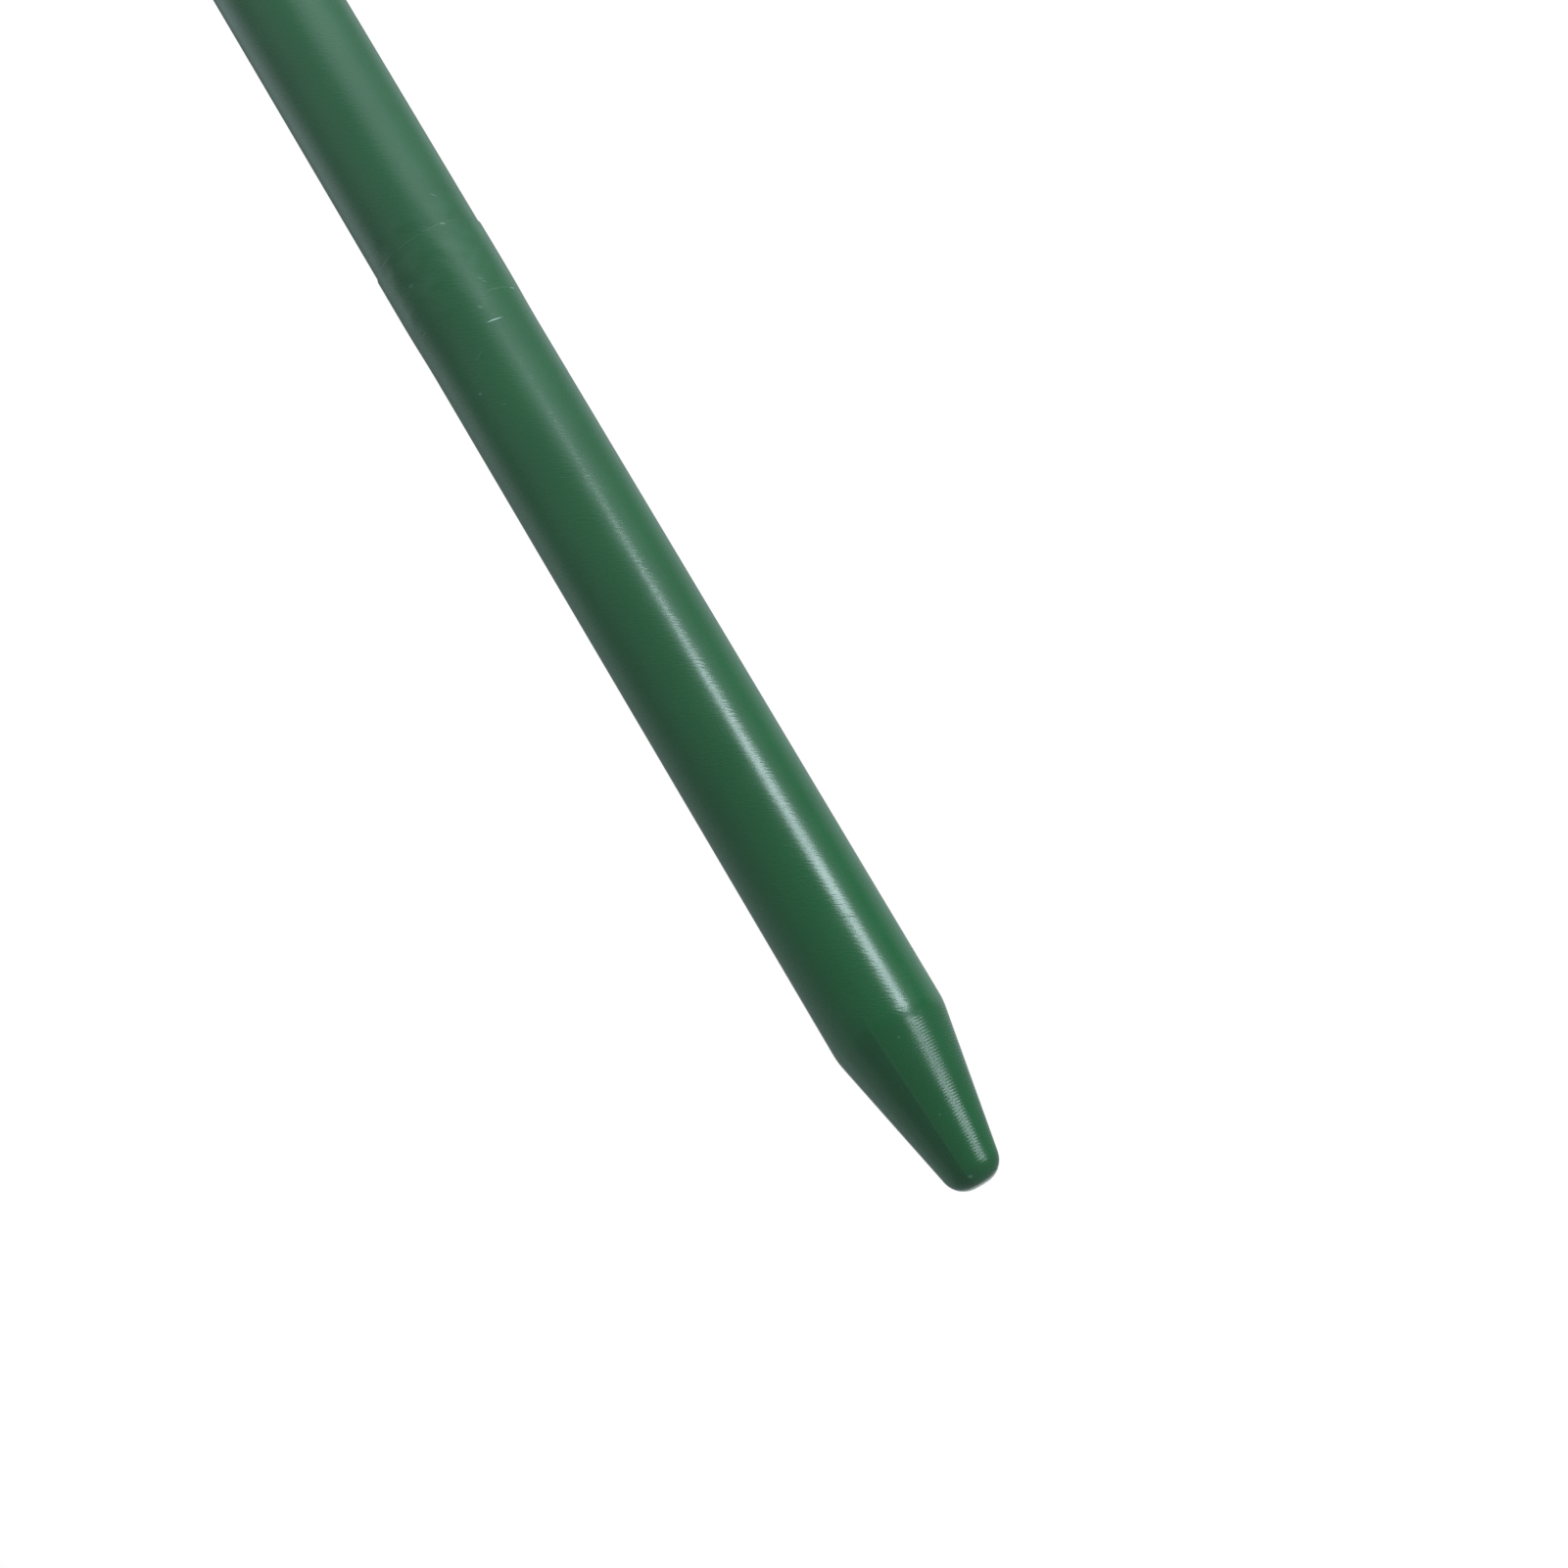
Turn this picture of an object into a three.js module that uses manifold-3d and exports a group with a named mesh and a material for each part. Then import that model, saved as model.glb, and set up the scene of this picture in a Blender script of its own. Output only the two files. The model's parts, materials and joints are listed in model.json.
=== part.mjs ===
// Branch-shaped plant stake, in millimetres, +Z up, origin on the stem's axis at the soil line.
// A moulded point, a plain section and a row of branch sections are threaded on a steel core tube.
// Each section's spigot sits in the socket of the piece below it, and a cap closes the top.
// A forked twig plugs into the slanted boss of each branch section.
import * as THREE from 'three';
import { mergeVertices } from 'three/addons/utils/BufferGeometryUtils.js';
import Module from 'manifold-3d';

const wasm = await Module();
wasm.setup();

// Stem and core tube
const stemDiameter = 11;
const coreDiameter = 6;
const coreWall = 0.6;
const coreClearance = 0.15;
const insertionDepth = 140;

// Spigot-and-socket joint, whose socket is swollen into a shallow band
const spigotDiameter = 8.4;
const spigotLength = 7.6;
const spigotLead = 0.6;
const jointClearance = 0.1;
const jointLine = 0.1;
const socketFloorGap = 0.3;
const bandLength = 7.9;
const bandHeight = 0.1;
const bandRamp = 0.4;
const rimRound = 0.15;

// Point section
const pointLength = 101.2;
const coneLength = 15.8;
const noseDiameter = 4.8;
const noseRound = 1.9;
const coneShoulderRound = 8;
const coreSeatAboveCone = 8;
const coreSeatGap = 0.1;

// Stacked sections
const sectionLength = 70;
const branchCount = 6;
const branchTurn = 90;

// Slanted boss of a branch section, with the socket that takes the twig's plug
const bossElevation = 45;
const bossHeight = 22;
const bossDiameter = 8.2;
const collarInset = 2.5;
const collarHeight = 20;
const collarWidth = 9.6;
const bossRimRound = 0.5;
const plugDiameter = 4.4;
const plugLength = 8.5;
const plugLead = 0.6;
const plugClearance = 0.1;
const plugEndGap = 0.3;
const twigSeatGap = 0.1;
const wallBehindPlug = 1.2;

// Forked twig
const twigRootDiameter = 7.6;
const twigNeckDiameter = 5.6;
const twigRootRound = 0.5;
const twigNeckRound = 2.2;
const shankLength = 42;
const tineRootDiameter = 5;
const tineTipDiameter = 3.4;
const mainTine = { length: 46, startAngle: -14, endAngle: -30 };
const sideTine = { length: 36, startAngle: 44, endAngle: 14 };

// Top cap
const capHeight = 10;
const capEdgeRound = 2.6;
const capBoreDepth = 3;
const capBoreGap = 0.3;

// Facets round and along the curved faces
const stemFacets = 24;
const pointFacets = 40;
const twigFacets = 10;
const socketFacets = 18;
const arcSteps = 4;
const tineSteps = 6;
const collarSteps = 5;

// How far a cutting tool reaches past the face that it opens
const cutOver = 1;

// Corners closer than this are one corner
const sameCorner = 0.0001;

const stemRadius = stemDiameter / 2;
const coreRadius = coreDiameter / 2;
const boreRadius = coreRadius + coreClearance;
const spigotRadius = spigotDiameter / 2;
const socketRadius = spigotRadius + jointClearance;
const socketDepth = spigotLength - jointLine + socketFloorGap;
const plugRadius = plugDiameter / 2;
const plugSocketRadius = plugRadius + plugClearance;
const noseHeight = -insertionDepth;
const pointTop = noseHeight + pointLength;
const sectionPitch = sectionLength + jointLine;
const capShoulder = pointTop + jointLine + (branchCount + 1) * sectionPitch;
const coreSeat = coneLength + coreSeatAboveCone;
const slant = THREE.MathUtils.degToRad(90 - bossElevation);
const plugSocketStart = (boreRadius + wallBehindPlug + plugSocketRadius * Math.cos(slant)) / Math.sin(slant);
const bossReach = plugSocketStart + plugEndGap + plugLength - twigSeatGap;

// Turns corners of the form [radius, height, round] into an outline whose rounds are arcs.
function roundedOutline(corners) {
  return corners.flatMap(([x, y, round], index) => {
    const corner = new THREE.Vector2(x, y);
    if (!round) {
      return [corner];
    }
    const before = new THREE.Vector2(...corners[index - 1]).sub(corner).normalize();
    const after = new THREE.Vector2(...corners[index + 1]).sub(corner).normalize();
    const halfAngle = Math.acos(before.dot(after)) / 2;
    const start = before.clone().multiplyScalar(round / Math.tan(halfAngle)).add(corner);
    const middle = before.clone().add(after).setLength(round / Math.sin(halfAngle)).add(corner);
    const sweep = Math.PI - 2 * halfAngle;
    const side = Math.sign(after.cross(before));
    return Array.from({ length: arcSteps + 1 }, (_, step) => (
      start.clone().rotateAround(middle, side * sweep * step / arcSteps)
    ));
  });
}

// Revolves an outline that starts and ends on the axis or closes on itself, and runs up its outer side.
function revolve(outline, facets) {
  return new THREE.LatheGeometry(outline, facets).rotateX(Math.PI / 2);
}

// Makes a closed solid of a geometry, with shared corners merged and empty triangles left out.
function toSolid(geometry) {
  const bare = geometry.clone();
  bare.deleteAttribute('normal');
  bare.deleteAttribute('uv');
  const merged = mergeVertices(bare, sameCorner);
  const corners = merged.index.array;
  const triangles = [];
  for (let first = 0; first < corners.length; first += 3) {
    const [a, b, c] = corners.slice(first, first + 3);
    if (a !== b && b !== c && c !== a) {
      triangles.push(a, b, c);
    }
  }
  return new wasm.Manifold(new wasm.Mesh({
    numProp: 3,
    vertProperties: Float32Array.from(merged.attributes.position.array),
    triVerts: Uint32Array.from(triangles),
  }));
}

// Gives a solid back as a geometry, with its normals.
function toGeometry(solid) {
  const mesh = solid.getMesh();
  const geometry = new THREE.BufferGeometry();
  geometry.setAttribute('position', new THREE.BufferAttribute(mesh.vertProperties, 3));
  geometry.setIndex(new THREE.BufferAttribute(mesh.triVerts, 1));
  geometry.computeVertexNormals();
  return geometry;
}

function revolvedSolid(corners, facets) {
  return toSolid(revolve(roundedOutline(corners), facets));
}

// Cuts the core's bore between two heights.
function boreTool(from, to, facets) {
  return revolvedSolid([[0, from], [boreRadius, from], [boreRadius, to], [0, to]], facets);
}

// Cuts the socket below a rim, with a small lead at its mouth.
function socketTool(rim, facets) {
  const floor = rim - socketDepth;
  const above = rim + cutOver;
  return revolvedSolid([
    [0, floor], [socketRadius, floor], [socketRadius, rim - rimRound],
    [socketRadius + rimRound, rim], [socketRadius + rimRound, above], [0, above],
  ], facets);
}

// The corners of the swollen band and rim round a socket, upwards to the axis.
function bandCorners(rim) {
  const bandRadius = stemRadius + bandHeight;
  return [
    [stemRadius, rim - bandLength - bandRamp],
    [bandRadius, rim - bandLength],
    [bandRadius, rim - rimRound],
    [bandRadius - rimRound, rim],
    [0, rim],
  ];
}

// The corners of a spigot and the shoulder above it, from the axis upwards.
function spigotCorners() {
  return [
    [0, -spigotLength],
    [spigotRadius - spigotLead, -spigotLength],
    [spigotRadius, spigotLead - spigotLength],
    [spigotRadius, 0],
    [stemRadius - rimRound, 0],
    [stemRadius, rimRound],
  ];
}

// Thin-walled tube from its seat in the point up into the cap.
function corePiece() {
  const low = noseHeight + coreSeat + coreSeatGap;
  const high = capShoulder + capBoreDepth - capBoreGap;
  const inner = coreRadius - coreWall;
  const wall = [[inner, low], [coreRadius, low], [coreRadius, high], [inner, high], [inner, low]];
  return revolvedSolid(wall, stemFacets);
}

// Blunt cone, straight shank and swollen socket, with the nose's end at height 0.
function pointPiece() {
  const body = revolvedSolid([
    [0, 0],
    [noseDiameter / 2, 0, noseRound],
    [stemRadius, coneLength, coneShoulderRound],
    ...bandCorners(pointLength),
  ], pointFacets);
  return body
    .subtract(boreTool(coreSeat, pointLength, pointFacets))
    .subtract(socketTool(pointLength, pointFacets));
}

// A section before its bore is cut, with its shoulder at height 0.
function sectionBlank() {
  return revolvedSolid([...spigotCorners(), ...bandCorners(sectionLength)], stemFacets);
}

// Bores a section for the core and the spigot above it.
function cutSection(blank) {
  return blank
    .subtract(boreTool(-spigotLength - cutOver, sectionLength, stemFacets))
    .subtract(socketTool(sectionLength, stemFacets));
}

// A closed solid through rings of equally many points, flat at its first and last ring.
function loftedSolid(rings) {
  const count = rings[0].length;
  const centres = [rings[0], rings.at(-1)].map((ring) => {
    const sum = ring.reduce((total, point) => total.add(point), new THREE.Vector3());
    return sum.divideScalar(count);
  });
  const points = [...rings.flat(), ...centres];
  const lastRing = (rings.length - 1) * count;
  const firstCentre = rings.length * count;
  const triangles = [];
  for (let side = 0; side < count; side += 1) {
    const next = (side + 1) % count;
    for (let ring = 0; ring < lastRing; ring += count) {
      triangles.push(ring + side, ring + next, ring + count + next);
      triangles.push(ring + side, ring + count + next, ring + count + side);
    }
    triangles.push(firstCentre, next, side);
    triangles.push(firstCentre + 1, lastRing + side, lastRing + next);
  }
  const geometry = new THREE.BufferGeometry().setFromPoints(points);
  geometry.setIndex(triangles);
  return toSolid(geometry);
}

// An ellipse round a point of the boss's axis, in a plane that leans back from upright by a tilt.
function bossRing(along, halfHeight, halfWidth, tilt) {
  const centre = new THREE.Vector3(along * Math.sin(slant), 0, bossHeight + along * Math.cos(slant));
  const upwards = new THREE.Vector3(-Math.sin(tilt), 0, Math.cos(tilt));
  return Array.from({ length: socketFacets }, (_, step) => {
    const angle = 2 * Math.PI * step / socketFacets;
    const point = centre.clone().addScaledVector(upwards, halfHeight * Math.sin(angle));
    point.y = halfWidth * Math.cos(angle);
    return point;
  });
}

// The boss grows out of a tall collar on the stem, as a branch does, and narrows to a round rim.
function bossBlank() {
  const { lerp } = THREE.MathUtils;
  const bossRadius = bossDiameter / 2;
  const first = collarInset / Math.sin(slant);
  const last = bossReach - bossRimRound;
  const lean = Math.PI / 2 - slant;
  const rings = Array.from({ length: collarSteps + 1 }, (_, step) => {
    const share = step / collarSteps;
    const fade = (1 - share) ** 2;
    const halfHeight = lerp(bossRadius, collarHeight / 2, fade);
    const halfWidth = lerp(bossRadius, collarWidth / 2, fade);
    return bossRing(lerp(first, last, share), halfHeight, halfWidth, lean * share);
  });
  const rimRadius = bossRadius - bossRimRound;
  return loftedSolid([...rings, bossRing(bossReach, rimRadius, rimRadius, lean)]);
}

// Cuts the blind socket for the twig's plug along the boss's axis.
function plugSocketTool() {
  const mouth = bossReach + cutOver;
  const outline = roundedOutline([
    [0, plugSocketStart], [plugSocketRadius, plugSocketStart], [plugSocketRadius, mouth], [0, mouth],
  ]);
  return toSolid(revolve(outline, socketFacets).rotateY(slant).translate(0, 0, bossHeight));
}

// A section with its boss, bored for the core and the twig's plug.
function branchPiece() {
  return cutSection(sectionBlank().add(bossBlank())).subtract(plugSocketTool());
}

// Bends a shape that stands along +Z into an arc in the XZ plane, turning by an angle over its length.
function bend(geometry, angle, length) {
  const radius = length / angle;
  const positions = geometry.attributes.position;
  for (let index = 0; index < positions.count; index += 1) {
    const turn = positions.getZ(index) / radius;
    const reach = radius - positions.getX(index);
    positions.setX(index, radius - reach * Math.cos(turn));
    positions.setZ(index, reach * Math.sin(turn));
  }
  return geometry;
}

// A tapered tine with a round tip, which leaves the shank's neck at one angle and ends at another.
function tineBlank({ length, startAngle, endAngle }) {
  const tipRadius = tineTipDiameter / 2;
  const straight = length - tipRadius;
  const side = Array.from({ length: tineSteps + 1 }, (_, step) => {
    const share = step / tineSteps;
    const radius = THREE.MathUtils.lerp(tineRootDiameter / 2, tipRadius, share);
    return new THREE.Vector2(radius, straight * share);
  });
  const tip = Array.from({ length: arcSteps }, (_, step) => {
    const angle = (step + 1) / arcSteps * Math.PI / 2;
    return new THREE.Vector2(tipRadius * Math.cos(angle), straight + tipRadius * Math.sin(angle));
  });
  tip[arcSteps - 1].x = 0;
  const start = THREE.MathUtils.degToRad(startAngle);
  const end = THREE.MathUtils.degToRad(endAngle);
  const geometry = revolve([new THREE.Vector2(0, 0), ...side, ...tip], twigFacets);
  return toSolid(bend(geometry, end - start, length).rotateY(start).translate(0, 0, shankLength));
}

// Plug, tapered shank and two tines, with the seat on the boss's rim at height 0.
function twigPiece() {
  const neckRadius = twigNeckDiameter / 2;
  const shank = revolvedSolid([
    [0, -plugLength],
    [plugRadius - plugLead, -plugLength],
    [plugRadius, plugLead - plugLength],
    [plugRadius, 0],
    [twigRootDiameter / 2, 0, twigRootRound],
    [neckRadius, shankLength],
    [neckRadius, shankLength + neckRadius, twigNeckRound],
    [0, shankLength + neckRadius],
  ], twigFacets);
  return shank.add(tineBlank(mainTine)).add(tineBlank(sideTine));
}

// Flat-topped cap on a spigot, bored blind for the core's end.
function capPiece() {
  const body = revolvedSolid([
    ...spigotCorners(),
    [stemRadius, capHeight, capEdgeRound],
    [0, capHeight],
  ], stemFacets);
  return body.subtract(boreTool(-spigotLength - cutOver, capBoreDepth, stemFacets));
}

function greenPlastic() {
  return new THREE.MeshStandardMaterial({ color: 0x2d5c40, roughness: 0.38, metalness: 0 });
}

function zincPlatedSteel() {
  return new THREE.MeshStandardMaterial({ color: 0xb6babd, roughness: 0.35, metalness: 1 });
}

function named(name, solid, material) {
  const mesh = new THREE.Mesh(toGeometry(solid), material);
  mesh.name = name;
  return mesh;
}

const stake = new THREE.Group();
stake.add(named('core_tube', corePiece(), zincPlatedSteel()));

const point = named('point_section', pointPiece(), greenPlastic());
point.position.z = noseHeight;
stake.add(point);

const plain = named('plain_section', cutSection(sectionBlank()), greenPlastic());
plain.position.z = pointTop + jointLine;
stake.add(plain);

for (let number = 1; number <= branchCount; number += 1) {
  const level = new THREE.Group();
  level.position.z = pointTop + jointLine + number * sectionPitch;
  level.rotation.z = THREE.MathUtils.degToRad((number - 1) * branchTurn);
  level.add(named(`branch_section_${number}`, branchPiece(), greenPlastic()));

  const boss = new THREE.Group();
  boss.position.z = bossHeight;
  boss.rotation.y = slant;
  const twig = named(`twig_${number}`, twigPiece(), greenPlastic());
  twig.position.z = bossReach + twigSeatGap;
  boss.add(twig);
  level.add(boss);
  stake.add(level);
}

const cap = named('top_cap', capPiece(), greenPlastic());
cap.position.z = capShoulder;
stake.add(cap);

export default stake;
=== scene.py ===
from collections import namedtuple
import json
import math

import bpy
from mathutils import Matrix, Vector

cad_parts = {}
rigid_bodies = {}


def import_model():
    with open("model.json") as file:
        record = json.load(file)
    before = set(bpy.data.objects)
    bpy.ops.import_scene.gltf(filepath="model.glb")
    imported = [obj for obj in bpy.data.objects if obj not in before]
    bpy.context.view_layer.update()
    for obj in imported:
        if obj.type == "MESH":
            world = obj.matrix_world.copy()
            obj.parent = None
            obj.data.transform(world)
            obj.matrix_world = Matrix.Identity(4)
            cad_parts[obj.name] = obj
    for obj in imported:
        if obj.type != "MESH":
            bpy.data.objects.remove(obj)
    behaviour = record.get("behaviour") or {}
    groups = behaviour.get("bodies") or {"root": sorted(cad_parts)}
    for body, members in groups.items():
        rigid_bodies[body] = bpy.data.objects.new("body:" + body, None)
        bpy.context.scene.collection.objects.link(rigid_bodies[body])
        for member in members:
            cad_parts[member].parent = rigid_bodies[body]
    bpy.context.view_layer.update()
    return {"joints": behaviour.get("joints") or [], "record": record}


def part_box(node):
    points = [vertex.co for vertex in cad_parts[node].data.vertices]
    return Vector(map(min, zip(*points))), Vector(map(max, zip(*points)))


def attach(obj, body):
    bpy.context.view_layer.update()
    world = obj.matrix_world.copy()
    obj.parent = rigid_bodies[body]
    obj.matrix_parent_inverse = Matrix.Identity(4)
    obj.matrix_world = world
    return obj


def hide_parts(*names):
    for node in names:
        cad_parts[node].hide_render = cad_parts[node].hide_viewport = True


bl_info = {
    "name": "Branch-shaped plant stake",
    "version": (1, 0, 0),
    "blender": (4, 5, 0),
    "location": "3D View > Sidebar > Plant stake",
    "description": "Dresses the stake's frame in moulded green plastic and sets a studio stage round it",
    "category": "Object",
}

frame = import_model()

MM = 0.001

# Faces round and along the curved shapes
STEM_FACES = 128
COLLAR_FACES = 64
TWIG_FACES = 48
ARC_STEPS = 8
COLLAR_STEPS = 24
TINE_STEPS = 36
TIP_STEPS = 8
# Spacing of the rings on a sleeve that gets a collar
LADDER_STEP = 0.5 * MM

# Points this close count as one, and before a crease is smoothed also these
SAME_POINT = 0.001 * MM
CREASE_POINT = 0.02 * MM
# Meshes are sorted by distance from this lopsided place, so that each run merges the same points
SORT_FROM = Vector((310, 170, -230)) * MM
# How far from a round the straight beside it gets a ring of its own, which keeps its shading straight
HOLD = 0.06 * MM
# How far a cutting tool reaches past the face that it opens
CUT_OVER = 1 * MM

# Edges sharper than this are the crease of a collar or of a fork, or stay sharp in the shading
COLLAR_CREASE = math.radians(6)
FORK_CREASE = math.radians(8)
SHARP_EDGE = math.radians(35)
# How far a collar's crease strays from the stem, how many rings beside a crease are smoothed, and how often
CREASE_STRAY = 0.3 * MM
CREASE_RINGS = 3
COLLAR_SMOOTHING = 14
FORK_SMOOTHING = 16

# The scratches, flecks and ring lines that show, in millimetres and degrees: height above the nose, angle to
# the right of the front, length, width, slant down to the right, share of the scuff colour, share of the
# deepest groove
Mark = namedtuple("Mark", "height around length width slant pale groove")
MARKS = (
    Mark(90.4, 22, 2.0, 0.17, 3, 0.7, 0.2),
    Mark(101.1, 26, 0.7, 0.3, 20, 0.2, 0.1),
    # Lines round the band's rim and ramp: their pale share is painted highlight where the ring's edge catches
    # the light, and their groove is relief
    Mark(101.1, -50, 3.0, 0.14, 0, 0.1, 0.0),
    Mark(101.1, -12, 3.4, 0.12, 0, 0.05, 0.0),
    Mark(93.2, 64, 1.2, 0.2, 0, 0.35, 0.1),
    Mark(93.3, 44, 4.0, 0.14, 0, 0.08, 0.1),
    Mark(93.3, -52, 3.0, 0.14, 0, 0.0, 0.3),
    Mark(85.0, -28, 0.45, 0.3, 30, 0.2, 0.1),
    Mark(97.5, -33, 0.8, 0.5, 15, 0.08, 0.1),
    Mark(94.7, 31, 0.8, 0.2, 35, 0.1, 0.1),
    Mark(94.3, 33, 0.7, 0.18, 35, 0.1, 0.1),
    Mark(92.1, 16, 0.7, 0.3, 35, 0.12, 0.1),
    Mark(104.2, 34, 1.1, 0.22, 40, 0.12, 0.1),
    Mark(88.0, -10, 1.4, 0.24, -30, 0.05, 0.1),
    Mark(82.8, -12, 0.7, 0.14, 30, 0.1, 0.1),
    Mark(25.9, 21, 1.5, 0.1, 29, 0.0, 1.0),
    Mark(1.0, -11, 0.6, 0.35, 20, 0.2, 0.2),
    Mark(14.4, 4, 0.35, 0.25, 60, 0.12, 0.1),
    Mark(6.9, 0, 0.3, 0.22, 60, 0.12, 0.1),
    Mark(120.3, 4, 0.3, 0.25, 0, 0.0, 0.6),
)

# Places that the frame gives
nose_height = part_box("point_section")[0].z
point_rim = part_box("point_section")[1].z
band_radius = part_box("plain_section")[1].x
cap_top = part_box("top_cap")[1].z
core_low, core_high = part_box("core_tube")
joints = {joint["name"]: joint for joint in frame["joints"]}
branch_count = sum(name.startswith("branch_turn") for name in joints)


def length(label, description, millimetres):
    """A length that a user may change, given in millimetres and kept in metres."""
    return bpy.props.FloatProperty(
        name=label,
        description=description,
        default=millimetres * MM,
        precision=5,
        unit="LENGTH",
    )


def angle(label, description, degrees):
    """An angle that a user may change, given in degrees."""
    return bpy.props.FloatProperty(
        name=label,
        description=description,
        default=math.radians(degrees),
        subtype="ANGLE",
    )


def amount(label, description, default):
    """A plain number that a user may change."""
    return bpy.props.FloatProperty(name=label, description=description, default=default, precision=4)


def colour(label, description, default):
    """A linear colour that a user may change."""
    return bpy.props.FloatVectorProperty(
        name=label,
        description=description,
        default=default,
        subtype="COLOR",
        min=0,
        max=1,
    )


class StemSizes(bpy.types.PropertyGroup):
    """Sizes of the point, the sleeves, the core and the cap"""

    stem_diameter: length("Stem", "Width of the straight stem", 11)
    band_diameter: length("Band", "Width of the swollen band round a socket", band_radius * 2 / MM)
    band_length: length("Band length", "Length of the swollen band below a rim", 6.1)
    band_ramp: length("Band ramp", "Length over which the band swells", 4)
    ramp_round: length("Ramp round", "Round at both ends of the ramp", 150)
    rim_round: length("Rim round", "Round on the rim and the shoulder at a joint", 0.03)
    joint_gap: length("Joint gap", "Gap between a rim and the shoulder above it", 0.01)
    spigot_diameter: length("Spigot", "Width of the spigot below a shoulder", 8.4)
    spigot_length: length("Spigot length", "Length of the spigot below a shoulder", 7.51)
    spigot_lead: length("Spigot lead", "Chamfer at the spigot's end", 0.6)
    socket_clearance: length("Socket clearance", "Gap round a spigot in its socket", 0.1)
    core_clearance: length("Core clearance", "Gap round the core in its bore", 0.15)
    core_wall: length("Core wall", "Wall of the core tube", 0.6)
    cone_length: length("Cone", "Length of the blunt cone", 15.85)
    cone_shoulder_round: length("Cone shoulder", "Round where the cone leaves the stem", 8)
    nose_diameter: length("Nose", "Width of the cone's sharp end before its round", 4.8)
    nose_round: length("Nose round", "Round on the nose", 2.25)
    core_seat_gap: length("Core seat gap", "Gap between the core's end and its seat", 0.1)
    cap_edge_round: length("Cap edge", "Round on the cap's upper edge", 2.6)
    end_gap: length("End gap", "Gap beyond the end of a spigot, and of the core in the cap", 0.3)


class BranchSizes(bpy.types.PropertyGroup):
    """Sizes of the slanted boss and the forked twig"""

    boss_diameter: length("Boss", "Width of the boss at its rim", 8.2)
    boss_reach: length("Boss reach", "Distance along the slant from the stem's axis to the rim", 17.15)
    boss_rim_round: length("Boss rim", "Round on the boss's rim", 0.5)
    collar_inset: length("Collar inset", "Distance from the stem's axis to the collar's first ring", 2.5)
    collar_height: length("Collar height", "Height of the collar on the stem", 20)
    collar_width: length("Collar width", "Width of the collar on the stem", 9.6)
    seat_gap: length("Seat gap", "Gap between the boss's rim and the twig", 0.03)
    plug_diameter: length("Plug", "Width of the twig's plug", 4.4)
    plug_length: length("Plug length", "Length of the twig's plug", 8.5)
    plug_lead: length("Plug lead", "Chamfer at the plug's end", 0.6)
    plug_clearance: length("Plug clearance", "Gap round the plug in its socket", 0.1)
    plug_end_gap: length("Plug end gap", "Gap between the plug's end and the socket's floor", 0.3)
    root_diameter: length("Twig root", "Width of the twig at the boss", 7.6)
    root_round: length("Root round", "Round on the twig's root", 0.5)
    neck_diameter: length("Twig neck", "Width of the twig below its fork", 5.6)
    neck_round: length("Neck round", "Round on the neck's end inside the fork", 2.2)
    shank_length: length("Shank", "Length of the twig below its fork", 42)
    tine_root_diameter: length("Tine root", "Width of a tine at the fork", 5)
    tine_tip_diameter: length("Tine tip", "Width of a tine at its round tip", 3.4)
    main_tine_length: length("Main tine", "Length of the tine that goes on upwards", 46)
    main_tine_start: angle("Main tine start", "Lean of the main tine at the fork", -14)
    main_tine_end: angle("Main tine end", "Lean of the main tine at its tip", -30)
    side_tine_length: length("Side tine", "Length of the tine that branches off", 36)
    side_tine_start: angle("Side tine start", "Lean of the side tine at the fork", 44)
    side_tine_end: angle("Side tine end", "Lean of the side tine at its tip", 14)


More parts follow.
